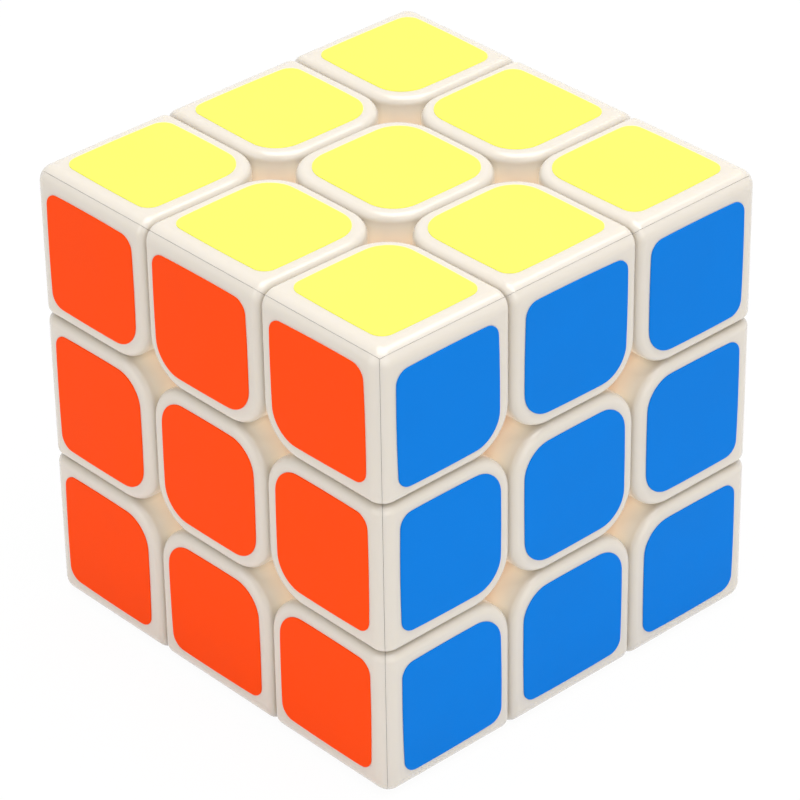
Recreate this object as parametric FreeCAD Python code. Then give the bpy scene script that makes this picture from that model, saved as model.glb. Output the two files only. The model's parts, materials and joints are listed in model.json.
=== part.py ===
"""A 3 x 3 x 3 twisty puzzle cube, built as it is made: a core with six arms, a sprung centre on each
arm, twelve edge pieces and eight corner pieces, each with a foot, and a sticker on every facet.

The origin is the middle of the core, where the three turning axes cross. +Z is up, the front is -Y.
Every surface between two layers is turned about the axis that parts them, so all six faces can turn:
    outside the sliding sphere the layers part on planes at half a facet's pitch from the middle;
    inside it, between the two spheres, the feet reach further in, under their neighbours;
    inside the hollow sphere there are only the core and the stems of the centres.
Sizes are in millimetres.
"""

import FreeCAD
import Part

import math
import os

from FreeCAD import Placement, Rotation, Vector

# ---- overall form
CUBE = 57.0  # plastic body, face to face
FACETS = 3  # facets along each side
LAYER_GAP = 0.2  # between two neighbouring pieces
EDGE_ROUND = 2.0  # the twelve outer edges of the cube
RIM_ROUND = 1.0  # rim of a facet, where it meets its neighbour
NOOK_ROUND = 5.5  # corners of the pieces around each four-way nook
SEAM_GAP = 0.03  # hairline between the shells of one piece

# ---- walls
SHELL_WALL = 1.5
SHELL_FLOOR = 1.4  # spherical floor of the shells, over the foot

# ---- mechanism
SLIDE_SPHERE = 21.0  # radius where the feet slide under the outer pieces
HOLLOW_SPHERE = 14.0  # inner radius of the feet
FOOT_PLANE = 6.1  # where the layers part between the two spheres
FOOT_GAP = 0.3  # running clearance of the feet, all round
FOOT_ROUND = 0.6
POST_RADIUS = 2.4  # post of a foot, held in the shells
POST_LENGTH = 5.5
POST_FIT = 0.05
SOCKET_WALL = 1.2

# ---- core
CORE_BALL = 7.4
ARM_RADIUS = 4.4
ARM_END = 9.0
ARM_CHAMFER = 0.4

# ---- screw, spring and washer on each arm
SCREW_RADIUS = 1.5
SCREW_FIT = 0.03
SCREW_TIP = 3.4  # distance of the screw's tip from the middle
SCREW_HEAD_RADIUS = 2.8
SCREW_HEAD_HEIGHT = 1.8
DRIVE_WIDTH = 0.75
DRIVE_SPAN = 3.2
DRIVE_DEPTH = 1.1
SPRING_LENGTH = 7.0  # as fitted
SPRING_TURNS = 5.5
SPRING_RADIUS = 2.35  # to the middle of the wire
SPRING_WIRE = 0.32  # radius
SPRING_END_GAP = 0.05
WASHER_RADIUS = 2.9
WASHER_BORE = 1.65
WASHER_HEIGHT = 0.5

# ---- centres
HUB_STEM_RADIUS = 5.3
HUB_BORE_RADIUS = 3.3
HUB_FLOOR = 2.0
HUB_SEAT_GAP = 0.05  # stem over the arm's end
HUB_SCREW_HOLE = 1.65
HUB_WELL_RADIUS = 5.6
HUB_WELL_FLOOR = 1.2  # above the cap's seat
CAP_DEPTH = 6.0
CAP_WALL = 1.5
CAP_TOP = 1.6
CAP_FIT = 0.06  # cap over the hub's spigot, all round
CAP_SEAT_GAP = 0.05
CAP_RIB_WIDTH = 1.0
CAP_RIB_HEIGHT = 0.9

# ---- stickers
STICKER = 0.15  # thickness
STICKER_GAP_MARGIN = 1.9  # from the plane between two pieces
STICKER_EDGE_MARGIN = 2.55  # from the cube's side
STICKER_NOOK_ROUND = 3.5
STICKER_OUTER_ROUND = 1.6

# ---- worked out from the sizes above
SIDE = CUBE / 2
PITCH = CUBE / FACETS
PARTING = PITCH / 2  # planes between the layers
OUTER_LOW = PARTING + LAYER_GAP / 2  # an outer piece starts here
MIDDLE_HALF = PARTING - LAYER_GAP / 2  # a middle piece ends here
FOOT_LOW = FOOT_PLANE + FOOT_GAP / 2
FOOT_HALF = FOOT_PLANE - FOOT_GAP / 2
FOOT_TOP = SLIDE_SPHERE - FOOT_GAP / 2
SHELL_UNDER = SLIDE_SPHERE + FOOT_GAP / 2
HUB_BOTTOM = ARM_END + HUB_SEAT_GAP
SPRING_SEAT = HUB_BOTTOM + HUB_FLOOR
WASHER_UNDER = SPRING_SEAT + SPRING_LENGTH
HEAD_UNDER = WASHER_UNDER + WASHER_HEIGHT
CAP_SEAT = SIDE - CAP_DEPTH
SPIGOT_TOP = SIDE - CAP_TOP - CAP_RIB_HEIGHT - CAP_SEAT_GAP

MERGE = 1.0  # how far two forms run into each other where they are one solid
UP = Vector(0, 0, 1)
TINY = 1e-6

# turns that carry the upright centre, the upper back edge and the first corner to their places
TO_FACE = {
    "upper": Rotation(),
    "lower": Rotation(Vector(1, 0, 0), 180),
    "front": Rotation(Vector(1, 0, 0), 90),
    "back": Rotation(Vector(1, 0, 0), -90),
    "right": Rotation(Vector(0, 1, 0), 90),
    "left": Rotation(Vector(0, 1, 0), -90),
}
# quarter turns about the upright axis that carry the front face to each side
SIDE_TURNS = {"front": 0, "right": 1, "back": 2, "left": 3}


def about_z(quarter_turns):
    return Rotation(UP, 90 * quarter_turns)


def turned(shape, rotation):
    """A copy of the shape, turned about the origin."""
    copy = shape.copy()
    copy.Placement = Placement(Vector(), rotation).multiply(copy.Placement)
    return copy


def box(low, high):
    """A box between two opposite corners."""
    return Part.makeBox(*[h - l for l, h in zip(low, high)], Vector(*low))


def post_along(direction, radius, start, length):
    """A round bar along a direction through the origin, starting at a distance from it."""
    axis = Vector(direction).normalize()
    return Part.makeCylinder(radius, length, axis * start, axis)


# ---- the rounded forms of the pieces


def lies_on(edge, axis, value):
    """Whether an edge lies in the plane where one coordinate has a value."""
    low, high = edge.BoundBox.getPoint(0), edge.BoundBox.getPoint(6)
    return all(abs(point[axis] - value) < TINY for point in (low, high))


def edges_on(shape, sides):
    """The straight edges where two of these planes meet. A plane is (axis, value)."""
    return [e for e in shape.Edges if sum(lies_on(e, *side) for side in sides) >= 2]


def is_outer(face, outer_sides):
    """Whether a face belongs to the outside of the cube: a facet, or the rounding between two."""
    surface = face.Surface
    if isinstance(surface, Part.Plane):
        centre = face.CenterOfMass
        return any(abs(centre[axis] - value) < TINY for axis, value in outer_sides)
    return abs(surface.Radius - EDGE_ROUND) < TINY


def rim_edges(shape, outer_sides):
    """The edges between the outside of the cube and the flanks of a piece."""
    found = []
    for edge in shape.Edges:
        faces = shape.ancestorsOfType(edge, Part.Face)
        if len({is_outer(f, outer_sides) for f in faces}) == 2:
            found.append(edge)
    return found


def piece_form(low, high, inset=0.0):
    """The rounded block of a piece between two corners. Its outer sides are those on the cube's sides.
    With an inset it is the same form drawn in by a wall's thickness, with no rounding at the rims."""
    low, high = [v + inset for v in low], [v - inset for v in high]
    sides = [(axis, v) for axis in range(3) for v in (low[axis], high[axis])]
    outer = [(axis, v) for axis, v in sides if abs(v) > SIDE - inset - TINY]
    flanks = [side for side in sides if side not in outer]
    block = box(low, high)
    block = block.makeFillet(NOOK_ROUND - inset, edges_on(block, flanks))
    block = block.makeFillet(EDGE_ROUND - inset, edges_on(block, outer))
    if inset:
        return block
    return block.makeFillet(RIM_ROUND, rim_edges(block, outer))


def hollow_piece(low, high, direction):
    """Outer form of a corner or an edge, hollow, with a spherical floor and a socket for the foot's post."""
    cavity = piece_form(low, high, SHELL_WALL).cut(Part.makeSphere(SHELL_UNDER + SHELL_FLOOR))
    socket = post_along(direction, POST_RADIUS + POST_FIT + SOCKET_WALL, 0, SHELL_UNDER + POST_LENGTH)
    hole = post_along(direction, POST_RADIUS + POST_FIT, 0, SHELL_UNDER + POST_LENGTH + POST_FIT)
    body = piece_form(low, high).cut(Part.makeSphere(SHELL_UNDER))
    return body.cut(cavity.cut(socket)).cut(hole)


def foot(low, high, direction):
    """A foot between the two spheres, with the post that the shells hold."""
    block = Part.makeSphere(FOOT_TOP).cut(Part.makeSphere(HOLLOW_SPHERE)).common(box(low, high))
    block = block.makeFillet(FOOT_ROUND, [e for e in block.Edges if isinstance(e.Curve, Part.Line)])
    start = SLIDE_SPHERE - MERGE
    post = post_along(direction, POST_RADIUS, start, SHELL_UNDER + POST_LENGTH - start)
    return block.fuse(post)


# ---- corner pieces


def corner_direction():
    return Vector(1, 1, 1)


def corner_shells():
    """The three alike shells of the corner in the octant of +X, +Y and +Z, parted on the mitres."""
    body = hollow_piece([OUTER_LOW] * 3, [SIDE] * 3, corner_direction())
    reach = 2 * SIDE
    square = [Vector(reach, y, z) for y, z in ((0, 0), (reach, 0), (reach, reach), (0, reach))]
    wedge = pyramid(square, Vector())
    wedge.translate(Vector(SEAM_GAP / math.sqrt(2), 0, 0))
    shells = []
    for third in range(3):
        part = turned(wedge, Rotation(corner_direction(), 120 * third))
        shells.append(body.common(part))
    return shells


def pyramid(base, apex):
    """A solid from a flat base polygon to an apex."""
    closed = base + base[:1]
    faces = [Part.Face(Part.makePolygon(closed))]
    for a, b in zip(closed, closed[1:]):
        faces.append(Part.Face(Part.makePolygon([a, b, apex, a])))
    solid = Part.Solid(Part.Shell(faces))
    if solid.Volume < 0:
        solid.reverse()
    return solid


def corner_foot():
    return foot([FOOT_LOW] * 3, [SLIDE_SPHERE] * 3, corner_direction())


# ---- edge pieces


def edge_direction():
    return Vector(0, 1, 1)


def edge_shells():
    """The two shells of the edge between +Y and +Z, parted on the mitre."""
    body = hollow_piece([-MIDDLE_HALF, OUTER_LOW, OUTER_LOW], [MIDDLE_HALF, SIDE, SIDE], edge_direction())
    reach = 2 * SIDE
    upper = [Vector(-reach, y, z) for y, z in ((0, 0), (reach, reach), (0, reach), (0, 0))]
    wedge = Part.Face(Part.makePolygon(upper)).extrude(Vector(2 * reach, 0, 0))
    wedge.translate(Vector(0, 0, SEAM_GAP / math.sqrt(2)))
    other = turned(wedge, Rotation(edge_direction(), 180))
    return [body.common(wedge), body.common(other)]


def edge_foot():
    return foot([-FOOT_HALF, FOOT_LOW, FOOT_LOW], [FOOT_HALF, SLIDE_SPHERE, SLIDE_SPHERE], edge_direction())


# ---- centres


def square_bar(half, corner_round, bottom, top):
    """An upright square bar with rounded corners."""
    bar = box([-half, -half, bottom], [half, half, top])
    upright = [e for e in bar.Edges if abs(e.BoundBox.ZLength - (top - bottom)) < TINY]
    return bar.makeFillet(corner_round, upright)


def centre_hub():
    """The upper centre's hub: a stem on the arm, a head over the feet and a spigot for the cap."""
    head = square_bar(MIDDLE_HALF, NOOK_ROUND, 0, CAP_SEAT).cut(Part.makeSphere(SHELL_UNDER))
    inset = CAP_WALL + CAP_FIT
    spigot = square_bar(MIDDLE_HALF - inset, NOOK_ROUND - inset, CAP_SEAT - MERGE, SPIGOT_TOP)
    stem = Part.makeCylinder(HUB_STEM_RADIUS, CAP_SEAT - HUB_BOTTOM, UP * HUB_BOTTOM)
    hub = stem.fuse([head, spigot]).removeSplitter()
    bore = Part.makeCylinder(HUB_BORE_RADIUS, SIDE, UP * SPRING_SEAT)
    well = Part.makeCylinder(HUB_WELL_RADIUS, SIDE, UP * (CAP_SEAT + HUB_WELL_FLOOR))
    hole = Part.makeCylinder(HUB_SCREW_HOLE, SIDE, Vector())
    return hub.cut(bore.fuse([well, hole]))


def centre_cap():
    """The upper centre's cap: a square cup that plugs over the hub's spigot."""
    bar = square_bar(MIDDLE_HALF, NOOK_ROUND, CAP_SEAT + CAP_SEAT_GAP, SIDE)
    bar = bar.makeFillet(RIM_ROUND, [e for e in bar.Edges if lies_on(e, 2, SIDE)])
    hollow = square_bar(MIDDLE_HALF - CAP_WALL, NOOK_ROUND - CAP_WALL, 0, SIDE - CAP_TOP)
    cup = bar.cut(hollow)
    ribs = []
    for quarter in range(2):
        half = MIDDLE_HALF - CAP_WALL
        low = [-half, -CAP_RIB_WIDTH / 2, SIDE - CAP_TOP - CAP_RIB_HEIGHT]
        ribs.append(turned(box(low, [half, CAP_RIB_WIDTH / 2, SIDE - CAP_TOP]), about_z(quarter)))
    return cup.fuse(ribs).removeSplitter()


# ---- core, screws, washers and springs


def core():
    """The six-armed core, with a pilot hole for a screw in each arm."""
    arms = []
    holes = []
    for rotation in TO_FACE.values():
        arm = Part.makeCylinder(ARM_RADIUS, ARM_END)
        arm = arm.makeChamfer(ARM_CHAMFER, [e for e in arm.Edges if lies_on(e, 2, ARM_END)])
        arms.append(turned(arm, rotation))
        hole = Part.makeCylinder(SCREW_RADIUS + SCREW_FIT, ARM_END, UP * (SCREW_TIP - SCREW_FIT))
        holes.append(turned(hole, rotation))
    return Part.makeSphere(CORE_BALL).fuse(arms).removeSplitter().cut(holes)


def screw():
    """A pan-head screw with a cross recess, on the upper arm."""
    shank = Part.makeCylinder(SCREW_RADIUS, HEAD_UNDER - SCREW_TIP, UP * SCREW_TIP)
    head = Part.makeCylinder(SCREW_HEAD_RADIUS, SCREW_HEAD_HEIGHT, UP * HEAD_UNDER)
    top = HEAD_UNDER + SCREW_HEAD_HEIGHT
    head = head.makeFillet(SCREW_HEAD_HEIGHT / 2, [e for e in head.Edges if lies_on(e, 2, top)])
    slot = box([-DRIVE_SPAN / 2, -DRIVE_WIDTH / 2, top - DRIVE_DEPTH], [DRIVE_SPAN / 2, DRIVE_WIDTH / 2, top])
    cross = slot.fuse(turned(slot, about_z(1)))
    return shank.fuse(head).cut(cross)


def washer():
    disc = Part.makeCylinder(WASHER_RADIUS, WASHER_HEIGHT, UP * WASHER_UNDER)
    return disc.cut(Part.makeCylinder(WASHER_BORE, SIDE))


def spring():
    """The coil spring round the upper screw, between the hub's floor and the washer."""
    bottom = SPRING_SEAT + SPRING_END_GAP + SPRING_WIRE
    height = SPRING_LENGTH - 2 * (SPRING_END_GAP + SPRING_WIRE)
    path = Part.makeHelix(height / SPRING_TURNS, height, SPRING_RADIUS)
    section = Part.Wire(Part.makeCircle(SPRING_WIRE, Vector(SPRING_RADIUS, 0, 0), Vector(0, 1, 0)))
    coil = Part.Wire(path.Edges).makePipeShell([section], True, True)
    coil.translate(UP * bottom)
    return coil


def one_on_each_arm(shape):
    """Six copies, one for each arm of the core."""
    return [turned(shape, rotation) for rotation in TO_FACE.values()]


# ---- stickers


def facet_spans(index):
    """The low and high edge of a sticker along one side of a face. The index is -1, 0 or 1."""
    near = PARTING - STICKER_GAP_MARGIN
    if index == 0:
        return -near, near
    inner, outer = PARTING + STICKER_GAP_MARGIN, SIDE - STICKER_EDGE_MARGIN
    return (inner, outer) if index > 0 else (-outer, -inner)


def at_nook(column, row, right, up):
    """Whether this corner of a facet lies at a four-way nook. right and up are -1 or 1."""
    return column * right != 1 and row * up != 1


def sticker(column, row):
    """One sticker of the upper face, its column along X and its row along Y."""
    across = dict(zip((-1, 1), facet_spans(column)))
    along = dict(zip((-1, 1), facet_spans(row)))
    corners = []
    for right, up in ((-1, -1), (1, -1), (1, 1), (-1, 1)):
        radius = STICKER_NOOK_ROUND if at_nook(column, row, right, up) else STICKER_OUTER_ROUND
        corners.append((Vector(across[right], along[up], SIDE), right, up, radius))
    outline = []
    for number, (point, right, up, radius) in enumerate(corners):
        centre = point - Vector(right * radius, up * radius, 0)
        start = 180 + 90 * number
        arc = [centre + Vector(math.cos(math.radians(a)), math.sin(math.radians(a)), 0) * radius
               for a in (start, start + 45, start + 90)]
        outline.append(arc)
    edges = []
    for arc, following in zip(outline, outline[1:] + outline[:1]):
        edges.append(Part.Arc(*arc).toShape())
        edges.append(Part.makeLine(arc[2], following[0]))
    return Part.Face(Part.Wire(edges)).extrude(UP * STICKER)


def face_stickers(face, cells):
    """The stickers at these (column, row) cells of a face. On a side face, rows count upwards."""
    rotation = TO_FACE[face]
    if face in SIDE_TURNS:
        rotation = about_z(SIDE_TURNS[face]).multiply(TO_FACE["front"])
    return [turned(sticker(column, row), rotation) for column, row in cells]


# ---- the assembly


def write(name, solids):
    """Writes one node, as a compound of its separate solids."""
    shape = solids[0] if len(solids) == 1 else Part.makeCompound(solids)
    print(name, len(shape.Solids), "solids", round(shape.Volume, 1), "mm3", shape.isValid())
    shape.exportStep(os.path.join("parts", name + ".step"))


def write_centres():
    hub, cap = centre_hub(), centre_cap()
    for face, rotation in TO_FACE.items():
        write(face + "_hub", [turned(hub, rotation)])
        write(face + "_centre_cap", [turned(cap, rotation)])


def write_core():
    write("core", [core()])
    write("tension_screws", one_on_each_arm(screw()) + one_on_each_arm(washer()))
    coil = spring()
    for face, rotation in TO_FACE.items():
        write(face + "_spring", [turned(coil, rotation)])


def write_pieces():
    """Edges and corners. A node holds the shells of one piece and its foot."""
    edge = edge_shells() + [edge_foot()]
    corner = corner_shells() + [corner_foot()]
    upright = Rotation(Vector(0, 1, 0), 90)
    flip = Rotation(Vector(1, 0, 0), -90)
    # the first edge is at the upper back; a quarter turn about Z carries it to the left
    for quarter, side in enumerate(("back", "left", "front", "right")):
        for layer, first in (("upper", Rotation()), ("lower", flip)):
            place = about_z(quarter).multiply(first)
            write(f"{layer}_{side}_edge", [turned(s, place) for s in edge])
    # the first corner and the first upright edge are at the back right
    for quarter, post in enumerate(("back_right", "back_left", "front_left", "front_right")):
        place = about_z(quarter).multiply(upright)
        write(f"{post}_edge", [turned(s, place) for s in edge])
        for layer, first in (("upper", Rotation()), ("lower", flip)):
            place = about_z(quarter).multiply(first)
            write(f"{layer}_{post}_corner", [turned(s, place) for s in corner])


def write_stickers():
    """The ring of stickers of each face, row by row on the sides, and the six on the centre caps."""
    columns = (-1, 0, 1)
    ring = [(column, row) for column in columns for row in columns if (column, row) != (0, 0)]
    for face in TO_FACE:
        write(face + "_centre_sticker", face_stickers(face, [(0, 0)]))
    for face in ("upper", "lower"):
        write(face + "_face_stickers", face_stickers(face, ring))
    for face in SIDE_TURNS:
        for layer, level in (("upper", 1), ("middle", 0), ("lower", -1)):
            cells = [(column, row) for column, row in ring if row == level]
            write(f"{face}_{layer}_stickers", face_stickers(face, cells))


def main():
    os.makedirs("parts", exist_ok=True)
    write_core()
    write_centres()
    write_pieces()
    write_stickers()


main()
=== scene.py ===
"""The looks of a twisty puzzle cube: cream plastic pieces, vinyl films, a steel screw and spring per arm.

Lengths are in metres. The origin is the middle of the core, +Z is up, and the front is -Y.
"""

import json
import math

import bmesh
import bpy
from mathutils import Euler, Matrix, Vector


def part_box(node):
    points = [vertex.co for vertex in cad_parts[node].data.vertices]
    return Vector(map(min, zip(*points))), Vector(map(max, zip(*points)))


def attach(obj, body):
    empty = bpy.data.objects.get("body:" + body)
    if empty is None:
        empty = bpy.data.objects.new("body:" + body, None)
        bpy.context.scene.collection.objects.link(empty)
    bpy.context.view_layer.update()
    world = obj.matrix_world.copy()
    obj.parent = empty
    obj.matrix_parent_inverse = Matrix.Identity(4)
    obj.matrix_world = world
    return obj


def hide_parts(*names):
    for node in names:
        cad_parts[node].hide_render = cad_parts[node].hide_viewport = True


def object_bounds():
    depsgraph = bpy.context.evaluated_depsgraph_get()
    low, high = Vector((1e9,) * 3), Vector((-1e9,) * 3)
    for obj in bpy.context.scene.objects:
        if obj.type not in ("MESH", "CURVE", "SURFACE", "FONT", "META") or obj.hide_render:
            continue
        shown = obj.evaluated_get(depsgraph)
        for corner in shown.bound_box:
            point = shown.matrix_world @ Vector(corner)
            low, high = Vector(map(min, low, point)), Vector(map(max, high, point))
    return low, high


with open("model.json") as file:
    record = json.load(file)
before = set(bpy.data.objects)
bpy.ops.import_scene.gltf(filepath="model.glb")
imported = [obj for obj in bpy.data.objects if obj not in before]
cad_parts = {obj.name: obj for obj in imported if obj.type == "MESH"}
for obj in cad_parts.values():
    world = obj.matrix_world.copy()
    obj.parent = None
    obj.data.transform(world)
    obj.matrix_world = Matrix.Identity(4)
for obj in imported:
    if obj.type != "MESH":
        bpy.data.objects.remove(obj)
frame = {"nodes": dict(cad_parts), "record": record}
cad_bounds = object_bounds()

MM = 0.001

# ---- view
CAMERA_PLACE = Vector((290.1, -263.7, 245.5)) * MM
LOOK_AT = Vector((0.8, -0.5, -1.4)) * MM
CAMERA_ROLL = math.radians(-0.9)
FOCAL_LENGTH = 182.4  # millimetres, on the sensor below
SENSOR = 36.0

# ---- films, one under each turn of a face
FILM_ROUND_NOOK = 3.5 * MM  # corners that face a four-way nook
FILM_ROUND = 1.6 * MM  # the others
FILM_BULGE = 0.12 * MM
FILM_LIP = 0.05 * MM  # the cut edge leans in by this much
FILM_SHIFT = 0.22 * MM  # laid by hand: the furthest from true
FILM_SPIN = math.radians(0.9)
FILM_STEP = 0.3 * MM
FILM_SEED = 5

# ---- the four-way nooks, whose walls get painted light near the face, painted amber shade deep down and a painted glow
NOOK_REACH = 5.0 * MM  # from the nook's middle line
NOOK_FULL = 3.5 * MM
# depths over which the painted light on the nook walls comes in
PAINTED_LIGHT_START = 0.5 * MM  # below the face
PAINTED_LIGHT_END = 3.5 * MM
# depths over which the painted amber shade on the nook walls comes in
PAINTED_SHADE_START = 1.5 * MM
PAINTED_SHADE_END = 8.0 * MM
# strength of the painted glow given off by the nook walls
PAINTED_GLOW_STRENGTH = 0.4

# ---- light
SKY = 0.4  # strength of the studio's white light
SHADOW_SHARE = 0.04  # how much of the floor that is seen takes shadow
LAMPS = {  # place and width in metres, power in watts
    "overhead": ((0.1, 0.1, 0.9), 0.9, 9.6),
    "right_fill": ((0.9, -0.2, 0.35), 0.8, 2.25),
    "left_fill": ((-0.2, -0.9, 0.35), 0.8, 2.1),
}

# ---- surface noise, in lumps per metre
MOULD_CLOUD = 240.0
MOULD_GRAIN = 2600.0
FILM_CLOUD = 90.0
FILM_GRAIN = 1500.0
STEEL_GRAIN = 3000.0

# ---- smoothing of the moulded forms
WELD = 0.0001 * MM
SHARP = math.radians(28)

# ---- sizes from the frame
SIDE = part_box("upper_back_right_corner")[1].z
PARTING = SIDE / 3  # planes between the layers
centre_low, centre_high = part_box("upper_centre_sticker")
ring_low, ring_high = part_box("upper_face_stickers")
FILM_THICK = centre_high.z - SIDE
FILM_MARGIN = PARTING - centre_high.x
FILM_REACH = ring_high.x


# ---- node trees


class Wire:
    """An output socket that can be used in sums."""

    def __init__(self, tree, socket):
        self.tree = tree
        self.socket = socket

    def _math(self, operation, *values):
        return self.tree.node("Math", {"operation": operation}, *values)

    def __add__(self, other):
        return self._math("ADD", self, other)

    def __sub__(self, other):
        return self._math("SUBTRACT", self, other)

    def __rsub__(self, other):
        return self._math("SUBTRACT", other, self)

    def __mul__(self, other):
        return self._math("MULTIPLY", self, other)

    def __truediv__(self, other):
        return self._math("DIVIDE", self, other)

    def __pow__(self, power):
        return self._math("POWER", self, power)

    def __gt__(self, other):
        return self._math("GREATER_THAN", self, other)

    def __abs__(self):
        return self._math("ABSOLUTE", self)

    __radd__ = __add__
    __rmul__ = __mul__

    def larger(self, other):
        return self._math("MAXIMUM", self, other)

    def ramp(self, low, high, to_low=0.0, to_high=1.0):
        """The value carried from one range to another, held at its ends."""
        return self.tree.node("MapRange", {}, self, low, high, to_low, to_high)


FAMILIES = {"Math": "ShaderNode", "MapRange": "ShaderNode", "SeparateXYZ": "ShaderNode",
            "CombineXYZ": "ShaderNode", "RandomValue": "FunctionNode"}


class Tree:
    """A node tree that is built by calls."""

    def __init__(self, tree, family):
        self.tree = tree
        self.family = family
        tree.nodes.clear()

    def node(self, kind, settings, *values, out=0, **named):
        """Adds a node, sets it up, fills its sockets in order or by name and gives one of its outputs."""
        family = FAMILIES.get(kind, self.family)
        node = self.tree.nodes.new(family + kind)
        for key, value in settings.items():
            setattr(node, key, value)
        for socket, value in zip(node.inputs, values):
            self.fill(socket, value)
        for key, value in named.items():
            self.fill(node.inputs[key.replace("_", " ")], value)
        return Wire(self, node.outputs[out]) if node.outputs else node

    def split(self, vector):
        """The three parts of a vector."""
        parts = self.node("SeparateXYZ", {}, vector).socket.node.outputs
        return [Wire(self, part) for part in parts]

    def vector(self, x, y, z):
        return self.node("CombineXYZ", {}, x, y, z)

    def blend(self, factor, first, second):
        """Two colours, mixed."""
        mix = self.node("Mix", {"data_type": "RGBA"}, factor, out=2)
        for socket, value in zip(mix.socket.node.inputs[6:8], (first, second)):
            self.fill(socket, value)
        return mix

    def fill(self, socket, value):
        if isinstance(value, Wire):
            self.tree.links.new(value.socket, socket)
        elif value is not None:
            socket.default_value = value


# ---- materials


def linear(red, green, blue):
    """A colour as it looks on a screen, 0 to 255, turned into the linear values that a shader takes."""
    shares = [v / 255 for v in (red, green, blue)]
    return [s / 12.92 if s < 0.04045 else ((s + 0.055) / 1.055) ** 2.4 for s in shares] + [1.0]


def new_material(name):
    material = bpy.data.materials.new(name)
    material.use_nodes = True
    return material, Tree(material.node_tree, "ShaderNode")


def finish_material(tree, colour, roughness, bump=None, **constants):
    """The closing shader. Constants go straight onto its sockets."""
    normal = None
    if bump:
        height, strength, distance = bump
        normal = tree.node("Bump", {}, Strength=strength, Distance=distance, Height=height)
    shader = tree.node("BsdfPrincipled", {}, Base_Color=colour, Roughness=roughness, Normal=normal,
                       **constants)
    tree.node("OutputMaterial", {}, shader)


def noise(tree, place, scale, detail=2.0):
    """Cloudy noise, about 0.5 on average. scale is in lumps per metre."""
    return tree.node("TexNoise", {}, Vector=place, Scale=scale, Detail=detail)


def body_plastic(name):
    """Cream moulded plastic with a little subsurface scattering; its nook walls carry painted light, painted amber
    shade and a painted glow.
    """
    material, tree = new_material(name)
    place = tree.node("TexCoord", {}, out=3)
    x, y, z = (abs(part) for part in tree.split(place))
    # shares of painted amber shade and painted light on the nook walls, grown with depth below the face
    painted_shade_share = painted_light_share = 0.0
    for along, first, second in ((x, y, z), (y, z, x), (z, x, y)):
        off_axis = ((first - PARTING) ** 2 + (second - PARTING) ** 2) ** 0.5
        in_nook = off_axis.ramp(NOOK_REACH, NOOK_FULL)
        depth = SIDE - along
        painted_shade_share = (in_nook * depth.ramp(PAINTED_SHADE_START, PAINTED_SHADE_END)).larger(painted_shade_share)
        painted_light_share = (in_nook * depth.ramp(PAINTED_LIGHT_START, PAINTED_LIGHT_END)).larger(painted_light_share)
    # colour of the nook walls: painted light near the face, painted amber shade deeper down
    colour = tree.blend(painted_shade_share, tree.blend(painted_light_share, CREAM, PAINTED_NOOK_LIGHT), PAINTED_AMBER_SHADE)
    # a painted glow from the nook walls, which are no lamp
    glow = tree.blend(painted_shade_share, tree.blend(painted_light_share, BLACK, PAINTED_NOOK_LIGHT), PAINTED_DEEP_GLOW)
    cloud = noise(tree, place, MOULD_CLOUD, 3.0)
    fine = noise(tree, place, MOULD_GRAIN, 1.0)
    roughness = cloud.ramp(0.3, 0.7, 0.2, 0.24)
    finish_material(tree, colour, roughness, (fine, 0.03, 0.01 * MM), Subsurface_Weight=0.2,
                    Subsurface_Radius=(1.0, 0.9, 0.6), Subsurface_Scale=2 * MM,
                    Coat_Weight=0.35, Coat_Roughness=0.08,
                    Emission_Color=glow, Emission_Strength=PAINTED_GLOW_STRENGTH)
    return material


def vinyl(name, colour):
    """Satin vinyl film, nearly even in tone."""
    material, tree = new_material(name)
    place = tree.node("TexCoord", {}, out=3)
    cloud = noise(tree, place, FILM_CLOUD)
    tone = tree.blend(cloud.ramp(0.3, 0.7), [c * 0.96 for c in colour[:3]] + [1.0], colour)
    skin = noise(tree, place, FILM_GRAIN, 3.0)
    roughness = cloud.ramp(0.3, 0.7, 0.42, 0.5)
    finish_material(tree, tone, roughness, (skin, 0.05, 0.01 * MM), Specular_IOR_Level=0.04)
    return material


def steel(name, colour, roughness):
    material, tree = new_material(name)
    place = tree.node("TexCoord", {}, out=3)
    grain = noise(tree, place, STEEL_GRAIN, 3.0)
    finish_material(tree, colour, grain.ramp(0.3, 0.7, roughness - 0.06, roughness + 0.06), Metallic=1.0)
    return material


CREAM = linear(214, 206, 194)
# painted light of the nook walls, painted amber shade deep in the nooks and the painted glow that goes with that
# shade
PAINTED_NOOK_LIGHT = linear(240, 236, 220)
PAINTED_AMBER_SHADE = linear(206, 146, 66)
PAINTED_DEEP_GLOW = linear(130, 82, 24)
BLACK = [0.0, 0.0, 0.0, 1.0]
materials = {
    "body_plastic": body_plastic("cream_plastic"),
    "core_plastic": body_plastic("core_plastic"),
    "screw_steel": steel("zinc_plate", linear(205, 205, 208), 0.3),
    "spring_steel": steel("spring_wire", linear(190, 190, 192), 0.25),
    "yellow_vinyl": vinyl("yellow_film", linear(250, 250, 102)),
    "white_vinyl": vinyl("white_film", linear(240, 242, 244)),
    "orange_vinyl": vinyl("orange_film", linear(255, 74, 6)),
    "red_vinyl": vinyl("red_film", linear(200, 22, 36)),
    "blue_vinyl": vinyl("blue_film", linear(0, 120, 214)),
    "green_vinyl": vinyl("green_film", linear(14, 155, 78)),
}
slot_of = {part["node"]: part["material_slot"] for part in frame["record"]["subparts"]}
body_of = {node: body for body, nodes in frame["record"]["behaviour"]["bodies"].items() for node in nodes}


def new_piece(name, mesh, node):
    """A piece of the object that stands for a CAD node and takes its place, body and finish from it."""
    piece = bpy.data.objects.new(name, mesh)
    bpy.context.collection.objects.link(piece)
    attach(piece, body_of[node])
    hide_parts(node)
    return piece


# ---- moulded pieces


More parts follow.
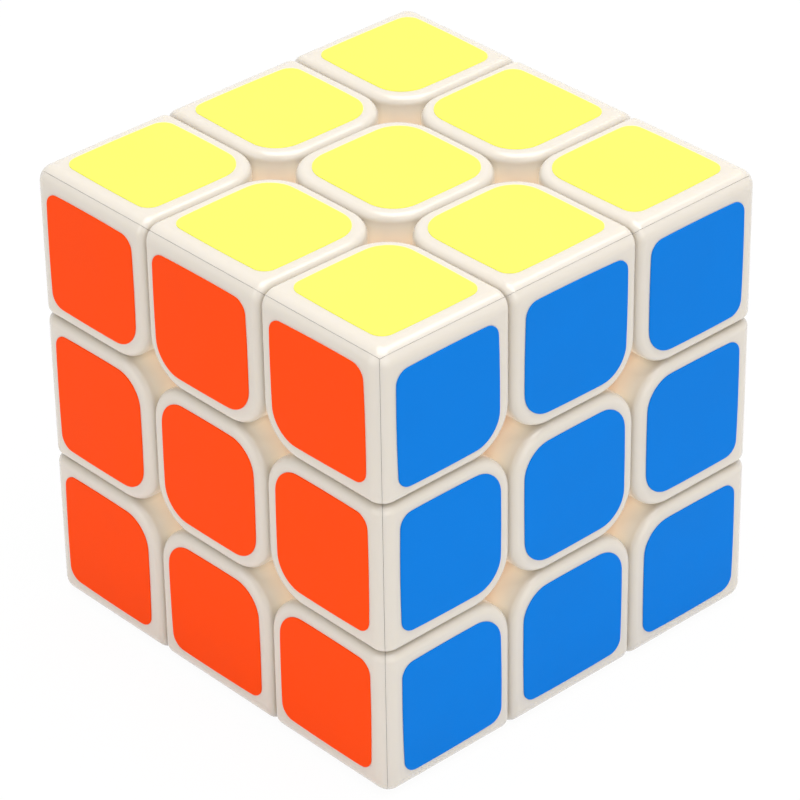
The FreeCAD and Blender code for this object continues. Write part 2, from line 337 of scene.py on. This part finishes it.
def smooth_copy(node):
    """The CAD form with its facets joined, so that its roundings shade smoothly and its flats stay flat."""
    mesh = frame["nodes"][node].data.copy()
    work = bmesh.new()
    work.from_mesh(mesh)
    bmesh.ops.remove_doubles(work, verts=work.verts, dist=WELD)
    work.to_mesh(mesh)
    work.free()
    mesh.shade_smooth()
    mesh.set_sharp_from_angle(angle=SHARP)
    mesh.materials.clear()
    mesh.materials.append(materials[slot_of[node]])
    draft = bpy.data.objects.new("draft", mesh)
    bpy.context.collection.objects.link(draft)
    weighing = draft.modifiers.new("weighing", "WEIGHTED_NORMAL")
    weighing.keep_sharp = True
    done = as_mesh(draft)
    bpy.data.objects.remove(draft)
    return done


def as_mesh(item):
    """The item's mesh, with its modifiers applied."""
    graph = bpy.context.evaluated_depsgraph_get()
    return bpy.data.meshes.new_from_object(item.evaluated_get(graph), depsgraph=graph)


for node_name in frame["nodes"]:
    if not node_name.endswith(("sticker", "stickers")):
        new_piece(node_name + "_form", smooth_copy(node_name), node_name)


# ---- films

FILM_INPUTS = {
    "Across": "Float", "Along": "Float", "Thickness": "Float", "Lip": "Float", "Bulge": "Float",
    "Step": "Float", "Round right up": "Float", "Round left up": "Float", "Round left down": "Float", "Round right down": "Float",
    "Shift": "Float", "Spin": "Float", "Number": "Int", "Seed": "Int", "Film": "Material",
}


def film_tree():
    """Geometry Nodes for one film: a rounded patch with slightly bulging sides and a bevelled cut edge."""
    group = bpy.data.node_groups.new("vinyl_film", "GeometryNodeTree")
    tree = Tree(group, "GeometryNode")
    new_socket = group.interface.new_socket
    new_socket("Geometry", in_out="OUTPUT", socket_type="NodeSocketGeometry")
    for name, kind in FILM_INPUTS.items():
        new_socket(name, in_out="INPUT", socket_type="NodeSocket" + kind)
    start = group.nodes.new("NodeGroupInput").outputs
    take = {name: Wire(tree, start[name]) for name in FILM_INPUTS}
    across, along, thick, lip = (take[name] for name in ("Across", "Along", "Thickness", "Lip"))

    place = tree.node("InputPosition", {})
    x, y = tree.split(place)[:2]
    right, up = x > 0.0, y > 0.0
    left, down = 1 - right, 1 - up
    radius = (take["Round right up"] * right * up + take["Round left up"] * left * up
              + take["Round left down"] * left * down + take["Round right down"] * right * down)
    outline = tree.node("CurvePrimitiveQuadrilateral", {}, across, along)
    outline = tree.node("FilletCurve", {"mode": "POLY"}, Curve=outline, Count=12, Radius=radius)
    outline = tree.node("ResampleCurve", {"mode": "LENGTH"}, Curve=outline, Length=take["Step"])
    swell_x = 1 + take["Bulge"] * 2 / across * (1 - (y * 2 / along) ** 2)
    swell_y = 1 + take["Bulge"] * 2 / along * (1 - (x * 2 / across) ** 2)
    outline = tree.node("SetPosition", {}, Geometry=outline, Position=tree.vector(x * swell_x, y * swell_y, 0.0))

    under = tree.node("FillCurve", {"mode": "NGONS"}, Curve=outline)
    wall = tree.node("ExtrudeMesh", {}, Mesh=under, Offset_Scale=thick - lip, Individual=False)
    top = Wire(tree, wall.socket.node.outputs["Top"])
    rim = tree.node("ExtrudeMesh", {}, Mesh=wall, Selection=top, Offset_Scale=lip, Individual=False)
    top = Wire(tree, rim.socket.node.outputs["Top"])
    x, y, z = tree.split(place)
    drawn_in = tree.vector(x * (1 - 2 * lip / across), y * (1 - 2 * lip / along), z)
    rim = tree.node("SetPosition", {}, Geometry=rim, Selection=top, Position=drawn_in)
    whole = tree.node("JoinGeometry", {}, tree.node("FlipFaces", {}, Mesh=under))
    tree.fill(whole.socket.node.inputs[0], rim)
    whole = tree.node("MergeByDistance", {}, Geometry=whole, Distance=WELD)

    shift = take["Shift"]
    number = {"ID": take["Number"], "Seed": take["Seed"]}
    moved = tree.node("RandomValue", {"data_type": "FLOAT_VECTOR"}, tree.vector(0 - shift, 0 - shift, 0.0),
                      tree.vector(shift, shift, 0.0), **number)
    turn = tree.node("RandomValue", {"data_type": "FLOAT_VECTOR"}, tree.vector(0.0, 0.0, 0 - take["Spin"]),
                     tree.vector(0.0, 0.0, take["Spin"]), **(number | {"Seed": take["Seed"] + 1}))
    whole = tree.node("Transform", {}, Geometry=whole, Translation=moved, Rotation=turn)
    whole = tree.node("RealizeInstances", {}, Geometry=whole)
    whole = tree.node("SetMaterial", {}, Geometry=whole, Material=take["Film"])
    end = group.nodes.new("NodeGroupOutput")
    group.links.new(whole.socket, end.inputs[0])
    return group


FILM_TREE = film_tree()


def film(number, column, row, material):
    """The mesh of one film of the upper face, in its cell. column and row are -1, 0 or 1."""
    low, high = zip(*(span(index) for index in (column, row)))
    corners = {"right up": (1, 1), "left up": (-1, 1), "left down": (-1, -1), "right down": (1, -1)}
    values = {"Across": high[0] - low[0], "Along": high[1] - low[1], "Thickness": FILM_THICK, "Lip": FILM_LIP,
              "Bulge": FILM_BULGE, "Step": FILM_STEP, "Shift": FILM_SHIFT, "Spin": FILM_SPIN,
              "Number": number, "Seed": FILM_SEED, "Film": material}
    for name, (right, up) in corners.items():
        at_nook = column * right != 1 and row * up != 1
        values["Round " + name] = FILM_ROUND_NOOK if at_nook else FILM_ROUND
    draft = bpy.data.objects.new("draft", bpy.data.meshes.new("draft"))
    bpy.context.collection.objects.link(draft)
    shaping = draft.modifiers.new("shaping", "NODES")
    shaping.node_group = FILM_TREE
    for item in FILM_TREE.interface.items_tree:
        if item.in_out == "INPUT":
            shaping[item.identifier] = values[item.name]
    mesh = as_mesh(draft)
    bpy.data.objects.remove(draft)
    mesh.transform(Matrix.Translation(((low[0] + high[0]) / 2, (low[1] + high[1]) / 2, SIDE)))
    return mesh


def span(index):
    """Low and high edge of a film along one side of a face."""
    if index == 0:
        return centre_low.x, centre_high.x
    inner = PARTING + FILM_MARGIN
    return (inner, FILM_REACH) if index > 0 else (-FILM_REACH, -inner)


# turns that carry the upper face to each of the six
FACE_TURNS = {
    "upper": Matrix(),
    "lower": Matrix.Rotation(math.pi, 4, "X"),
    "front": Matrix.Rotation(math.pi / 2, 4, "X"),
}
for quarter, side in enumerate(("right", "back", "left"), 1):
    FACE_TURNS[side] = Matrix.Rotation(quarter * math.pi / 2, 4, "Z") @ FACE_TURNS["front"]


def film_cells(node):
    """The (column, row) cells whose films a CAD node holds. On a side face, rows count upwards."""
    ring = [(column, row) for row in (1, 0, -1) for column in (-1, 0, 1) if (column, row) != (0, 0)]
    kind = node.split("_")[1]
    rows = {"upper": (1,), "middle": (0,), "lower": (-1,), "face": (1, 0, -1), "centre": ()}[kind]
    return [cell for cell in ring if cell[1] in rows] or [(0, 0)]


def make_films(node, first_number):
    """All the films of a CAD node as one mesh, on their face."""
    cells = film_cells(node)
    work = bmesh.new()
    for number, (column, row) in enumerate(cells, first_number):
        sheet = film(number, column, row, materials[slot_of[node]])
        sheet.transform(FACE_TURNS[node.split("_")[0]])
        work.from_mesh(sheet)
    mesh = bpy.data.meshes.new(node + "_film")
    work.to_mesh(mesh)
    work.free()
    mesh.materials.append(materials[slot_of[node]])
    new_piece(node + "_film", mesh, node)
    return first_number + len(cells)


next_number = 0
for node_name in sorted(frame["nodes"]):
    if node_name.endswith(("sticker", "stickers")):
        next_number = make_films(node_name, next_number)


# ---- stage, light and camera


def seen_directly(tree):
    """1 for light that comes from the eye, straight, mirrored or through glass, and 0 for the rest."""
    rays = tree.node("LightPath", {}).socket.node.outputs
    camera, glossy, through = (Wire(tree, rays[f"Is {kind} Ray"]) for kind in ("Camera", "Glossy", "Transmission"))
    return camera.larger(glossy).larger(through)


def make_floor():
    bpy.ops.mesh.primitive_plane_add(size=6, location=(0, 0, cad_bounds[0][2]))
    floor = bpy.context.object
    floor.name = "floor"
    material, tree = new_material("pale_floor")
    seen = seen_directly(tree)
    matt = tree.node("BsdfDiffuse", {}, Color=linear(245, 245, 245))
    glow = tree.node("Emission", {}, Color=[1, 1, 1, 1], Strength=1.0)
    mix = tree.node("MixShader", {}, seen * (1 - SHADOW_SHARE), matt, glow)
    tree.node("OutputMaterial", {}, mix)
    floor.data.materials.append(material)


def make_world():
    world = bpy.data.worlds.new("studio")
    bpy.context.scene.world = world
    world.use_nodes = True
    tree = Tree(world.node_tree, "ShaderNode")
    seen = seen_directly(tree)
    back = tree.node("Background", {}, Color=[1, 1, 1, 1], Strength=seen * (1 - SKY) + SKY)
    tree.node("OutputWorld", {}, back)


def add_softbox(name, place, size, power):
    """A square lamp that faces the cube."""
    lamp = bpy.data.lights.new(name, "AREA")
    lamp.shape = "SQUARE"
    lamp.size = size
    lamp.energy = power
    item = bpy.data.objects.new(name, lamp)
    item.location = place
    item.rotation_euler = (-Vector(place)).to_track_quat("-Z", "Y").to_euler()
    bpy.context.collection.objects.link(item)


def make_camera():
    lens = bpy.data.cameras.new("camera")
    lens.lens = FOCAL_LENGTH
    lens.sensor_width = SENSOR
    camera = bpy.data.objects.new("camera", lens)
    camera.location = CAMERA_PLACE
    aim = (LOOK_AT - CAMERA_PLACE).to_track_quat("-Z", "Y")
    camera.rotation_euler = (aim @ Euler((0, 0, CAMERA_ROLL)).to_quaternion()).to_euler()
    bpy.context.collection.objects.link(camera)
    bpy.context.scene.camera = camera


make_floor()
make_world()
for lamp_name, (lamp_place, lamp_size, lamp_power) in LAMPS.items():
    add_softbox(lamp_name, lamp_place, lamp_size, lamp_power)
make_camera()
bpy.context.scene.view_settings.view_transform = "Standard"
